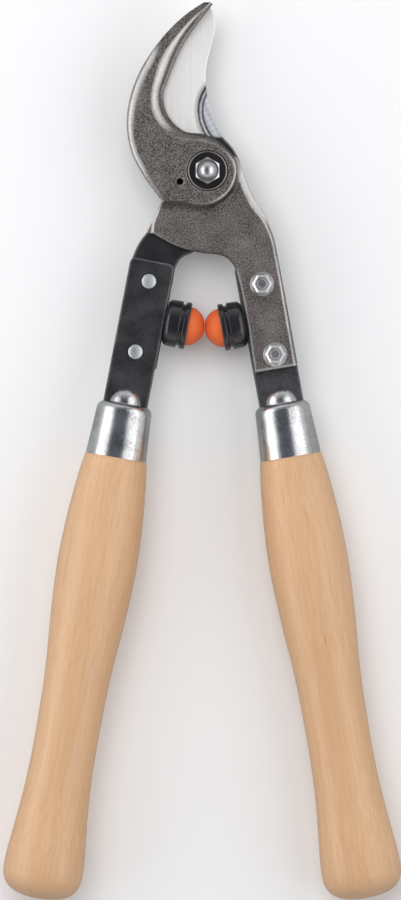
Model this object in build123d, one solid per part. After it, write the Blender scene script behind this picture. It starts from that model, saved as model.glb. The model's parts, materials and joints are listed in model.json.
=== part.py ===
"""Bypass pruning shears with turned wooden handles, lying flat with the jaws shut.

Two forged levers cross at a pivot. The counter blade carries the hooked jaw and the right-hand arm; the
cutting blade carries the left-hand arm. A flat tang bar is bolted to each arm and driven into a wooden handle
through a drawn steel ferrule. A rubber cup with a rubber ball stands on the inner edge of each arm, and the
two balls meet when the jaws shut.

Everything is drawn about the pivot: +X to the right, +Y towards the jaw tips, +Z out of the counter blade's
front face, with z = 0 in the shear plane between the two levers. At the end the whole tool is moved so that
the origin is at the bottom centre of its bounding box. Lengths are in millimetres and angles in degrees.
"""

from build123d import *
import math
import os

# ------------------------------------------------------------ driving dimensions
SHEAR_GAP = 0.1        # grease film between the two levers
HEAD_THICK = 10.0      # counter blade at the jaw and the pivot boss
ARM_THICK = 6.0        # counter blade at the arm
BLADE_THICK = 5.5      # cutting blade forging
BAR_THICK = 5.0        # flat bar of both tangs
BAR_WIDTH = 25.0

PIVOT_SHANK_R = 5.0
PIVOT_THREAD_R = 4.0
PIVOT_RUN = 0.05       # radial running clearance of the blade on the pivot bolt
RECESS_R = 11.6
RECESS_DEEP = 2.5
OIL_HOLE_R = 1.9
OIL_HOLE_AT = (-15.3, -6.1)

BOLT_R = 3.0
BOLT_PITCH = 40.0
BOLT_HEAD_R = 4.6
BOLT_HEAD_HIGH = 2.4
BAR_PAST_BOLT = 11.7   # bar end beyond the first bolt

CUP_LENGTH = 13.0
CUP_R = 13.2
BUFFER_BELOW_BOLT = 20.3
BUFFER_Z = -2.6
BALL_BEHIND_LIP = 1.0  # ball centre behind the cup's lip
BALL_GAP = 0.3         # between the two balls when the jaws are shut

FERRULE_LENGTH = 30.3
FERRULE_RISE = 1.1     # ferrule's closed end above the mouth that the leans are measured from
FERRULE_WALL = 1.1
FERRULE_TOP_R = 15.5
FERRULE_FOOT_R = 17.0
FERRULE_CORNER = 4.5
FERRULE_DOME_R = 8.6
HANDLE_END = 279.0     # butt of the wood, from the ferrule's mouth
TANG_DEEP = 105.0      # bar inside the ferrule and the wood
TANG_TIP_WIDTH = 13.0
FIT = 0.1              # clearance round the tangs, the arm bolts and the balls in their cups

HOOK_BACK_Z = SHEAR_GAP / 2
BLADE_FRONT_Z = -SHEAR_GAP / 2
BLADE_BACK_Z = BLADE_FRONT_Z - BLADE_THICK


class Side:
    """Where one handle stands: its ferrule mouth, how its bar and wood lean, and which way is inwards."""

    def __init__(self, mouth, bar_lean, wood_lean, first_bolt_up, bolt_shift, edge, inward, bar_z):
        self.bar_z = bar_z
        self.first_bolt_up = first_bolt_up
        self.bolt_shift = bolt_shift
        self.edge = edge
        self.inward = inward
        self.bar = Location((*mouth, 0), (0, 0, bar_lean))
        self.wood = Location((*mouth, bar_z + BAR_THICK / 2), (0, 0, wood_lean))

    def bolt_points(self):
        ups = (self.first_bolt_up, self.first_bolt_up - BOLT_PITCH)
        return [self.bar * Location((self.bolt_shift, up, 0)) for up in ups]

    def buffer(self):
        """Base of the rubber cup: local +Z points inwards, square to the arm's edge."""
        up = self.first_bolt_up - BUFFER_BELOW_BOLT
        return self.bar * Location((self.inward * self.edge, up, BUFFER_Z), (0, 90 * self.inward, 0))

    def ball_centre(self):
        return (self.buffer() * Location((0, 0, CUP_LENGTH - BALL_BEHIND_LIP))).position


LEFT = Side((-46.0, -131.0), -10.9, -10.0, 70.6, 0.0, 13.2, 1, BLADE_FRONT_Z)
RIGHT = Side((41.5, -130.7), 10.4, 9.7, 69.0, 1.5, 12.5, -1, HOOK_BACK_Z - BAR_THICK)

BALL_R = ((LEFT.ball_centre() - RIGHT.ball_centre()).length - BALL_GAP) / 2


def slab(face_edges, low, high):
    """Plate from a closed outline of edges lying in the XY plane, between two heights."""
    face = make_face(face_edges)
    return Pos(0, 0, low) * extrude(face, high - low)


def disc(radius, low, high, at=(0, 0)):
    return Pos(at[0], at[1], (low + high) / 2) * Cylinder(radius, high - low)


def hexagon(across_flats, low, high, turn=0):
    side = RegularPolygon(across_flats / 2, 6, major_radius=False, rotation=turn)
    return Pos(0, 0, low) * extrude(side, high - low)


# ------------------------------------------------------------ counter blade: hooked jaw, boss and right arm
BOSS_R = 19.5
BOSS_AT = (-3.6, 0.6)
BACK_CHAMFER = 2.8     # along the outer edge of the hook
LOBE_R = 45.4          # arc under the head, round the pivot, that the left bar swings past


def hook_jaw():
    tip_outer = (-3.4, 93.8)
    tip_inner = (2.8, 92.9)
    waist = (-25.4, -16.9)
    lobe_corner = (-31.2, -30.4)
    arc_start = (-30.2, -math.sqrt(LOBE_R**2 - 30.2**2))
    arc_end = (-9.0, -math.sqrt(LOBE_R**2 - 9.0**2))
    arch_foot = (16.9, -60.5)
    arm_inner = (25.9, -111.6)
    arm_outer = (50.4, -107.4)
    shoulder = (33.4, -27.6)
    ledge_top = (16.1, 8.4)
    boss_meet = (14.4, 8.6)

    back = Spline(tip_outer, (-16.3, 83.4), (-28.8, 69.5), (-37.4, 56.1), (-43.0, 41.5), (-45.0, 27.0),
                  (-42.4, 10.5), (-36.1, -2.0), waist)
    lobe = Polyline(waist, lobe_corner, arc_start)
    belly = ThreePointArc(arc_start, (-18.0, -math.sqrt(LOBE_R**2 - 18.0**2)), arc_end)
    arch = Spline(arc_end, (-1.5, -45.9), (4.5, -46.4), (10.0, -48.0), (14.2, -52.0), arch_foot,
                  tangents=[(0.98, -0.2), (0.17, -1)])
    foot = Polyline(arch_foot, arm_inner, arm_outer)
    outer = Spline(arm_outer, (45.5, -81.6), (39.9, -52.0), (36.6, -36.5), shoulder)
    flank = Spline(shoulder, (28.9, -19.8), (23.6, -10.5), (20.6, -2.0), ledge_top)
    ledge = Line(ledge_top, boss_meet)
    boss = Spline(boss_meet, (9.9, 13.3), (4.4, 17.7), (-3.0, 20.5), (-12.4, 21.9), (-18.6, 26.3), (-23.0, 33.0),
                  (-24.6, 42.0), (-21.4, 52.5), (-14.1, 69.5), (-4.7, 83.4), tip_inner)
    tip = Line(tip_inner, tip_outer)
    plan = [back, lobe, belly, arch, foot, outer, flank, ledge, boss, tip]

    body = slab(plan, HOOK_BACK_Z, HEAD_THICK)
    # The arm and lobe are thinner than the jaw and boss: everything outside the head's own plan is cut down.
    above_arm = Pos(0, 0, ARM_THICK) * extrude(Rectangle(200, 400), HEAD_THICK)
    head_plan = Pos(*BOSS_AT) * Circle(BOSS_R)
    jaw_side = make_face(Polyline((-60, 110), (20, 110), (20, 30), (4, 19), (-3.6, 0.6), (-12, -17.0),
                                  (-24.2, -16.6), (-60, -16.6), (-60, 110)))
    keep = Pos(0, 0, ARM_THICK) * extrude(head_plan + jaw_side, HEAD_THICK)
    body = body - (above_arm - keep)

    top = body.faces().filter_by(Plane.XY).sort_by(Axis.Z)[-1]
    body = body.chamfer(BACK_CHAMFER, None, [top.edges().sort_by(SortBy.LENGTH)[-1]])

    body -= disc(RECESS_R, HEAD_THICK - RECESS_DEEP, HEAD_THICK + 1)
    body -= disc(PIVOT_SHANK_R + PIVOT_RUN, -1, HEAD_THICK)
    body -= disc(OIL_HOLE_R, -1, HEAD_THICK + 1, OIL_HOLE_AT)
    for spot in RIGHT.bolt_points():
        body -= spot * Cylinder(BOLT_R + FIT, 40)
    return body


# ------------------------------------------------------------ cutting blade: ground blade, disc and left arm
BLADE_DISC_R = 18.7
GRIND_DEEP = 0.6


def cutting_blade():
    tip = (2.3, 91.4)
    spine_low = (8.9, 18.6)
    disc_right = (18.0, -5.0)
    arch_start = (-9.4, -45.9)
    arch_foot = (-18.6, -57.6)
    heel = (-25.2, 19.0)
    shoulder = (-32.8, -33.0)

    def on_arm(x, up):
        spot = (LEFT.bar * Location((x, up, 0))).position
        return (spot.X, spot.Y)

    arm_foot_inner = on_arm(LEFT.edge, 24.0)
    arm_foot_outer = on_arm(-12.0, 24.0)
    arm_head_outer = on_arm(-12.3, 76.0)

    spine = Spline(tip, (4.2, 80.5), (-0.6, 60.0), (-0.8, 46.0), (3.4, 29.6), spine_low)
    crown = ThreePointArc(spine_low, (18.0, 5.0), disc_right)
    throat = Spline(disc_right, (12.6, -24.0), (3.0, -40.0), arch_start)
    arch = Spline(arch_start, (-15.2, -48.8), arch_foot, tangents=[(-1, -0.1), (-0.17, -1)])
    arm = Polyline(arch_foot, arm_foot_inner, arm_foot_outer, arm_head_outer)
    outer = Spline(arm_head_outer, (-37.2, -39.1), shoulder)
    flank = Spline(shoulder, (-27.8, -24.8), (-22.6, -12.0), (-20.6, 4.0), heel)
    edge = Spline(heel, (-29.8, 36.0), (-24.6, 58.0), (-12.0, 78.0), tip)
    body = slab([spine, crown, throat, arch, arm, outer, flank, edge], BLADE_BACK_Z, BLADE_FRONT_Z)

    # Hollow grind on the flat face, ending in a crescent beside the pivot boss.
    ground = Pos(-36.0, 60.0, 0) * Rectangle(90, 90) - Pos(26.0, 32.5) * Circle(30.6)
    ground -= Circle(BLADE_DISC_R + 1.5)
    ground -= Pos(0, -20) * Rectangle(120, 60)
    body -= Pos(0, 0, BLADE_FRONT_Z - GRIND_DEEP) * extrude(ground, 2)

    # Bevel on the back, down to the cutting edge.
    bevel_foot = Spline((-21.0, 9.0), (-22.0, 30.0), (-16.0, 52.0), (-5.0, 74.0), (3.2, 90.0))
    outside = Polyline((3.2, 90.0), (6.0, 112.0), (-60.0, 112.0), (-60.0, 4.0), (-21.0, 9.0))
    wedge = slab([bevel_foot, outside], BLADE_BACK_Z - 1, BLADE_BACK_Z + 2.6)
    body -= wedge

    body -= disc(PIVOT_SHANK_R + PIVOT_RUN, -20, 20)
    for spot in LEFT.bolt_points():
        body -= spot * Cylinder(BOLT_R + FIT, 40)
    body -= LEFT.buffer() * Pos(0, 0, -4) * Cylinder(SCREW_R + 0.05, 10)
    return body


# ------------------------------------------------------------ tang bars
def tang_bar(side, extra=0.0):
    """Flat bar with a tapered tang; extra grows it all round, for cutting its own slot."""
    half = BAR_WIDTH / 2 + extra
    top = side.first_bolt_up + BAR_PAST_BOLT + extra
    tip = TANG_TIP_WIDTH / 2 + extra
    corner = 3.0
    outline = Polyline((-half, 0), (-half, top - corner), (corner - half, top), (half - corner, top),
                       (half, top - corner), (half, 0), (half, -20), (tip, -TANG_DEEP - extra),
                       (-tip, -TANG_DEEP - extra), (-half, -20), (-half, 0))
    plate = Pos(0, 0, side.bar_z - extra) * extrude(make_face(outline), BAR_THICK + 2 * extra)
    return side.bar * plate


def drilled_bar(side):
    bar = tang_bar(side)
    for spot in side.bolt_points():
        bar -= spot * Cylinder(BOLT_R + FIT, 40)
    if side is RIGHT:
        bar -= side.buffer() * Pos(0, 0, -4) * Cylinder(SCREW_R + 0.05, 10)
    return bar


# ------------------------------------------------------------ wooden handle and its ferrule
def turned(profile):
    """Solid of revolution about local Y, from edges in the half plane x >= 0."""
    return revolve(make_face(profile), Axis.Y)


def ferrule(side):
    top, foot, wall = FERRULE_TOP_R, FERRULE_FOOT_R, FERRULE_WALL
    dome, corner = FERRULE_DOME_R, FERRULE_CORNER
    bend = math.sqrt(0.5)
    outer_corner = (top - corner + corner * bend, -corner + corner * bend)
    inner_corner = corner - wall
    skin = [
        ThreePointArc((0, dome), (dome * bend, dome * bend), (dome, 0)),
        Line((dome, 0), (top - corner, 0)),
        ThreePointArc((top - corner, 0), outer_corner, (top, -corner)),
        Line((top, -corner), (foot, -FERRULE_LENGTH)),
        Line((foot, -FERRULE_LENGTH), (foot - wall, -FERRULE_LENGTH)),
        Line((foot - wall, -FERRULE_LENGTH), (top - wall, -corner)),
        ThreePointArc((top - wall, -corner),
                      (top - corner + inner_corner * bend, -corner + inner_corner * bend),
                      (top - corner, -wall)),
        Line((top - corner, -wall), (dome - wall, -wall)),
        Line((dome - wall, -wall), (dome - wall, 0)),
        ThreePointArc((dome - wall, 0), ((dome - wall) * bend, (dome - wall) * bend), (0, dome - wall)),
        Line((0, dome - wall), (0, dome)),
    ]
    return side.wood * Pos(0, FERRULE_RISE, 0) * turned(skin) - tang_bar(side, FIT)


def handle(side):
    seam = FERRULE_RISE - FERRULE_LENGTH - FIT
    spigot_top = FERRULE_TOP_R - FERRULE_WALL - FIT
    spigot_foot = FERRULE_FOOT_R - FERRULE_WALL - FIT
    start = -FERRULE_CORNER
    waist_r = 17.8
    waist = (-180.0, -202.0)
    butt_edge = (22.3, -262.0)
    profile = [
        Line((0, start), (spigot_top, start)),
        Line((spigot_top, start), (spigot_foot, seam)),
        Line((spigot_foot, seam), (17.9, seam)),
        Spline((17.9, seam), (20.9, -57.0), (22.2, -88.0), (20.0, -131.0), (waist_r, waist[0]),
               tangents=[(0.16, -1), (0, -1)]),
        Line((waist_r, waist[0]), (waist_r, waist[1])),
        Spline((waist_r, waist[1]), (19.2, -228.0), butt_edge, tangents=[(0, -1), (0, -1)]),
        Spline(butt_edge, (19.4, -273.2), (10.5, -278.0), (0, -HANDLE_END), tangents=[(0, -1), (-1, 0)]),
        Line((0, -HANDLE_END), (0, start)),
    ]
    return side.wood * turned(profile) - tang_bar(side, FIT)


# ------------------------------------------------------------ bolts and nuts of the two arms
ARM_NUT_HIGH = 6.0
ARM_NUT_FLATS = 10.0
ARM_NUT_FLANGE_R = 6.9


def standing(height, out):
    """Places a fastener drawn along +Z so that it stands on a height, pointing up (1) or down (-1)."""
    return Location((0, 0, height)) if out > 0 else Location((0, 0, height), (180, 0, 0))


def arm_bolts(side, head_z, tip_z):
    """Two round-headed bolts, with the heads on one face of the stack and the tips past the other."""
    head = disc(BOLT_HEAD_R, 0, BOLT_HEAD_HIGH)
    head = chamfer(head.edges().group_by(Axis.Z)[-1], 0.9)
    bolt = head + disc(BOLT_R, -abs(head_z - tip_z), 0)
    return [spot * standing(head_z, head_z - tip_z) * bolt for spot in side.bolt_points()]


def arm_nuts(side, seat_z, out):
    """Two flanged lock nuts standing on seat_z, pointing up (1) or down (-1)."""
    nut = hexagon(ARM_NUT_FLATS, 1.0, ARM_NUT_HIGH, 30)
    nut += disc(ARM_NUT_FLANGE_R, 0, 1.4) + disc(4.1, 5.0, ARM_NUT_HIGH + 1.2)
    nut -= disc(BOLT_R + 0.02, -1, ARM_NUT_HIGH + 3)
    return [spot * standing(seat_z, out) * nut for spot in side.bolt_points()]


# ------------------------------------------------------------ pivot
WASHER_THICK = 1.5
WASHER_R = 11.0
SPRING_WASHER_THICK = 1.2
PIVOT_NUT_FLATS = 13.0
PIVOT_NUT_HIGH = 6.5
PIVOT_DOME_R = 5.3
PIVOT_HEAD_FLATS = 16.0
PIVOT_HEAD_HIGH = 4.5

RECESS_FLOOR = HEAD_THICK - RECESS_DEEP
NUT_SEAT = RECESS_FLOOR + WASHER_THICK
SPRING_TOP = BLADE_BACK_Z - SHEAR_GAP
SPRING_FOOT = SPRING_TOP - SPRING_WASHER_THICK


def pivot_bolt():
    head = hexagon(PIVOT_HEAD_FLATS, SPRING_FOOT - PIVOT_HEAD_HIGH, SPRING_FOOT)
    shoulder = disc(PIVOT_SHANK_R, SPRING_FOOT, RECESS_FLOOR)
    thread = disc(PIVOT_THREAD_R, RECESS_FLOOR, NUT_SEAT + PIVOT_NUT_HIGH)
    return head + shoulder + thread


def pivot_cap_nut():
    nut = hexagon(PIVOT_NUT_FLATS, NUT_SEAT, NUT_SEAT + PIVOT_NUT_HIGH, 30)
    dome_base = NUT_SEAT + PIVOT_NUT_HIGH
    cap = Pos(0, 0, dome_base) * Sphere(PIVOT_DOME_R) & disc(PIVOT_DOME_R + 1, dome_base - 1, dome_base + 20)
    nut = nut + cap
    return nut - disc(PIVOT_THREAD_R + 0.02, NUT_SEAT - 1, NUT_SEAT + PIVOT_NUT_HIGH + 0.3)


def pivot_lock_washer():
    return disc(WASHER_R, RECESS_FLOOR, NUT_SEAT) - disc(PIVOT_THREAD_R + 0.2, 0, 20)


def pivot_spring_washer():
    return disc(10.5, SPRING_FOOT, SPRING_TOP) - disc(PIVOT_SHANK_R + 0.1, -20, 0)


# ------------------------------------------------------------ rubber buffers
SCREW_R = 1.5
SCREW_HEAD_HIGH = 1.6
CUP_BASE = 3.0
LIP_THICK = 2.4
GROOVE_WIDE = 2.2
GROOVE_DEEP = 0.9


def buffer_cup(side):
    """Rubber cup, local +Z inwards, with a chamfered heel and a groove behind its lip."""
    body = disc(CUP_R, 0, CUP_LENGTH)
    body = chamfer(body.edges().group_by(Axis.Z)[0], 2.2)
    groove_top = CUP_LENGTH - LIP_THICK
    body -= disc(CUP_R + 1, groove_top - GROOVE_WIDE, groove_top) - disc(CUP_R - GROOVE_DEEP, 0, CUP_LENGTH)
    body -= disc(BALL_R + FIT, CUP_BASE, CUP_LENGTH + 1)
    body -= disc(SCREW_R + 0.05, -1, CUP_BASE + 1)
    return side.buffer() * body


def buffer_ball(side):
    centre = CUP_LENGTH - BALL_BEHIND_LIP
    plug = disc(BALL_R, CUP_BASE + SCREW_HEAD_HIGH + FIT, centre)
    dome = Pos(0, 0, centre) * Sphere(BALL_R) & disc(BALL_R + 1, centre - 0.5, centre + 20)
    return side.buffer() * (plug + dome)


def buffer_screw(side):
    head = disc(3.0, CUP_BASE, CUP_BASE + SCREW_HEAD_HIGH)
    return side.buffer() * (head + disc(SCREW_R, -8.5, CUP_BASE))


# ------------------------------------------------------------ the whole tool
BAR_FRONT_Z = LEFT.bar_z + BAR_THICK


def build():
    return {
        "hook_jaw": hook_jaw(),
        "cutting_blade": cutting_blade(),
        "pivot_bolt": pivot_bolt(),
        "pivot_cap_nut": pivot_cap_nut(),
        "pivot_lock_washer": pivot_lock_washer(),
        "pivot_spring_washer": pivot_spring_washer(),
        "left_tang_bar": drilled_bar(LEFT),
        "right_tang_bar": drilled_bar(RIGHT),
        "left_arm_bolts": Compound(arm_bolts(LEFT, BAR_FRONT_Z, BLADE_BACK_Z - 7.6)),
        "left_arm_nuts": Compound(arm_nuts(LEFT, BLADE_BACK_Z, -1)),
        "right_arm_bolts": Compound(arm_bolts(RIGHT, RIGHT.bar_z, ARM_THICK + 7.6)),
        "right_arm_nuts": Compound(arm_nuts(RIGHT, ARM_THICK, 1)),
        "left_ferrule": ferrule(LEFT),
        "right_ferrule": ferrule(RIGHT),
        "left_handle": handle(LEFT),
        "right_handle": handle(RIGHT),
        "left_buffer_cup": buffer_cup(LEFT),
        "right_buffer_cup": buffer_cup(RIGHT),
        "left_buffer_ball": buffer_ball(LEFT),
        "right_buffer_ball": buffer_ball(RIGHT),
        "left_buffer_screw": buffer_screw(LEFT),
        "right_buffer_screw": buffer_screw(RIGHT),
    }


NODES = build()
BOX = Compound(list(NODES.values())).bounding_box()
PIVOT = Vector(-(BOX.min.X + BOX.max.X) / 2, -(BOX.min.Y + BOX.max.Y) / 2, -BOX.min.Z)

os.makedirs("parts", exist_ok=True)
for name, shape in NODES.items():
    export_step(Location(PIVOT) * shape, f"parts/{name}.step")
print("pivot at", [round(v, 3) for v in PIVOT], "ball radius", round(BALL_R, 3))
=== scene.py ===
"""Bypass lopping shears with turned wooden handles, in the order in which they are put together."""

import json
import math

import bpy
import numpy as np
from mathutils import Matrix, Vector
from mathutils.geometry import delaunay_2d_cdt


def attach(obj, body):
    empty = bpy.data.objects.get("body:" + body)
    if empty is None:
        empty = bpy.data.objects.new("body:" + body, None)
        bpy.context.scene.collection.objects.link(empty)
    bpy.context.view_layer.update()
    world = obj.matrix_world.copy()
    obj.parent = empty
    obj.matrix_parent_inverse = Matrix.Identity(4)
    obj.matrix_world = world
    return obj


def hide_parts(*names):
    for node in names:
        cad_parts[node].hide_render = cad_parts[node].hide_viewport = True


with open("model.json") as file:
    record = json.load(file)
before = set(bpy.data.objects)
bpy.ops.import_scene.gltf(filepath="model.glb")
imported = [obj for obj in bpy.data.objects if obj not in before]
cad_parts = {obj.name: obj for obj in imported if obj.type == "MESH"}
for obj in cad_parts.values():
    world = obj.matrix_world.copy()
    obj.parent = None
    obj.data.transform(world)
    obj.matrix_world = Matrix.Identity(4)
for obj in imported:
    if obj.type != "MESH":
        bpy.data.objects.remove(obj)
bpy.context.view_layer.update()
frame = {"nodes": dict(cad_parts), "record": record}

# ======================================================================================================
# Camera, table and light. The tool lies on a pale table under a long lens, between two tall soft boxes,
# with a dark ceiling, so flat steel reads dark and rounded steel catches a light on each side. The table
# is darker in metal than to the eye, which gives bright steel its dark edges.

MM = 0.001
scene = bpy.context.scene
scene.view_settings.view_transform = "Standard"
pivot = Vector(frame["record"]["behaviour"]["joints"][0]["pos_m"])

VIEW_HEIGHT = 0.5022
CAMERA_UP = 6.0
camera_data = bpy.data.cameras.new("camera")
camera_data.sensor_width = 36.0
camera_data.lens = 36.0 * CAMERA_UP / VIEW_HEIGHT
camera = bpy.data.objects.new("camera", camera_data)
camera.location = (-0.00098, 0.00085, pivot.z + CAMERA_UP)
scene.collection.objects.link(camera)
scene.camera = camera


def soft_box(name, place, aim, size, watts, seen_in_gloss=True):
    light = bpy.data.lights.new(name, "AREA")
    light.shape = "RECTANGLE"
    light.size, light.size_y = size
    light.energy = watts
    lamp = bpy.data.objects.new(name, light)
    lamp.location = place
    lamp.rotation_euler = (Vector(aim) - Vector(place)).to_track_quat("-Z", "Y").to_euler()
    lamp.visible_glossy = seen_in_gloss
    scene.collection.objects.link(lamp)


soft_box("left_box", (-1.15, 0.05, 0.62), (0, 0, 0), (1.9, 0.95), 6.0)
soft_box("right_box", (0.85, 0.05, 0.85), (0, 0, 0), (1.9, 0.95), 6.0)
soft_box("top_box", (-0.3, 0.5, 1.5), (0, 0, 0), (1.2, 1.2), 14.0, seen_in_gloss=False)


def wire(tree, target, value):
    """Gives a node's input a value, or another node's output."""
    if isinstance(value, bpy.types.NodeSocket):
        tree.links.new(value, target)
    else:
        target.default_value = value


def node(tree, kind, **inputs):
    """A new node, with its inputs given by name, _ for a space."""
    made = tree.nodes.new(kind)
    for name, value in inputs.items():
        wire(tree, made.inputs[name.replace("_", " ")], value)
    return made


def mixed(tree, amount, low, high, kind="RGBA"):
    """Two colours, or with kind FLOAT two numbers, mixed by an amount."""
    made = tree.nodes.new("ShaderNodeMix")
    made.data_type = kind
    first = 6 if kind == "RGBA" else 2
    for place, value in ((0, amount), (first, low), (first + 1, high)):
        wire(tree, made.inputs[place], value)
    return made.outputs[2 if kind == "RGBA" else 0]


def ramp(tree, value, *stops):
    """A value turned into a colour between two stops, each a position and a colour."""
    made = node(tree, "ShaderNodeValToRGB", Fac=value)
    for element, (position, colour) in zip(made.color_ramp.elements, stops):
        element.position = position
        element.color = (*colour, 1)
    return made.outputs["Color"]


def add_piece(name, mesh):
    piece = bpy.data.objects.new(name, mesh)
    scene.collection.objects.link(piece)
    return piece


HORIZON, CEILING = (0.60, 0.60, 0.61), (0.085, 0.093, 0.11)
TABLE_PALE, TABLE_IN_METAL = (0.94, 0.94, 0.94, 1), (0.37, 0.38, 0.38, 1)

world = bpy.data.worlds.new("studio")
world.use_nodes = True
sky = world.node_tree
way = node(sky, "ShaderNodeTexCoord").outputs["Generated"]
rise = node(sky, "ShaderNodeSeparateXYZ", Vector=way).outputs["Z"]
wire(sky, sky.nodes["Background"].inputs["Color"], ramp(sky, rise, (0.30, HORIZON), (0.85, CEILING)))
scene.world = world

table_mesh = bpy.data.meshes.new("table")
half = 6.0
table_mesh.from_pydata([(-half, -half, 0), (half, -half, 0), (half, half, 0), (-half, half, 0)], [], [(0, 1, 2, 3)])
table = add_piece("table", table_mesh)
table_paint = bpy.data.materials.new("table_paint")
table_paint.use_nodes = True
paint = table_paint.node_tree
in_metal = node(paint, "ShaderNodeLightPath").outputs["Is Glossy Ray"]
paint_shader = paint.nodes["Principled BSDF"]
wire(paint, paint_shader.inputs["Base Color"], mixed(paint, in_metal, TABLE_PALE, TABLE_IN_METAL))
paint_shader.inputs["Roughness"].default_value = 0.9
table_mesh.materials.append(table_paint)

# ======================================================================================================
# Counter blade: the hooked jaw, the pivot boss and the right arm are one drop forging, shot-blasted and
# left dark. Its ridges and rims are painted bright, partly as metal rubbed by handling and tumbling, partly
# as painted highlights where the soft boxes would be reflected; its valleys carry painted shade.


def line_through(points, step=0.7):
    """Smooth line through points, with about one vertex per step; a closed line repeats its first point."""
    points = np.array(points, float)
    chord = np.r_[0, np.cumsum(np.hypot(*np.diff(points, axis=0).T))]
    way = np.gradient(points, chord, axis=0)
    if np.allclose(points[0], points[-1]):
        way[0] = way[-1] = (points[1] - points[-2]) / (chord[1] + chord[-1] - chord[-2])
    line = []
    for i in range(len(points) - 1):
        span = chord[i + 1] - chord[i]
        t = np.linspace(0, 1, max(2, round(span / step)) + 1)[:-1, None]
        line.append((2 * t**3 - 3 * t**2 + 1) * points[i] + (t**3 - 2 * t**2 + t) * span * way[i]
                    + (3 * t**2 - 2 * t**3) * points[i + 1] + (t**3 - t**2) * span * way[i + 1])
    return np.vstack([*line, points[-1:]])


def straight(points, step=0.7):
    """Straight runs between points."""
    runs = []
    for a, b in zip(points, points[1:]):
        count = max(1, round(math.dist(a, b) / step))
        runs.append(np.linspace(a, b, count + 1)[:-1])
    return np.vstack([*runs, [points[-1]]])


def ring(centre, radius, step=0.6):
    turn = np.linspace(0, 2 * math.pi, max(16, round(2 * math.pi * radius / step)), endpoint=False)
    return np.c_[centre[0] + radius * np.cos(turn), centre[1] + radius * np.sin(turn)]


def closed(line):
    """A line with its first point again at its end."""
    return np.vstack([line, line[:1]])


def off(points, line):
    """Distance from each point to a line, and on which side: above zero is left of its direction."""
    a, b = line[:-1], line[1:]
    run = b - a
    near = np.full(len(points), np.inf)
    side = np.zeros(len(points))
    for start in range(0, len(points), 2000):
        p = points[start:start + 2000, None, :]
        t = (((p - a) * run).sum(2) / np.maximum((run**2).sum(1), 1e-12)).clip(0, 1)
        gap = p - a - t[..., None] * run
        far = np.hypot(gap[..., 0], gap[..., 1])
        best = far.argmin(1)
        rows = np.arange(len(best))
        near[start:start + 2000] = far[rows, best]
        side[start:start + 2000] = np.sign(run[best, 0] * gap[rows, best, 1] - run[best, 1] * gap[rows, best, 0])
    return near, side


def ease(low, high, value):
    t = ((value - low) / (high - low)).clip(0, 1)
    return t * t * (3 - 2 * t)


def bell(value, middle, width):
    return np.exp(-((value - middle) / width) ** 2)


def inside(points, outline):
    """Which points lie inside a closed outline."""
    x, y = points[:, 0, None], points[:, 1, None]
    ax, ay = outline.T
    bx, by = np.roll(outline, -1, axis=0).T
    crosses = (ay > y) != (by > y)
    rise = np.where(by == ay, 1e-12, by - ay)
    return (crosses & (x < ax + (y - ay) * (bx - ax) / rise)).sum(1) % 2 == 1


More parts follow.
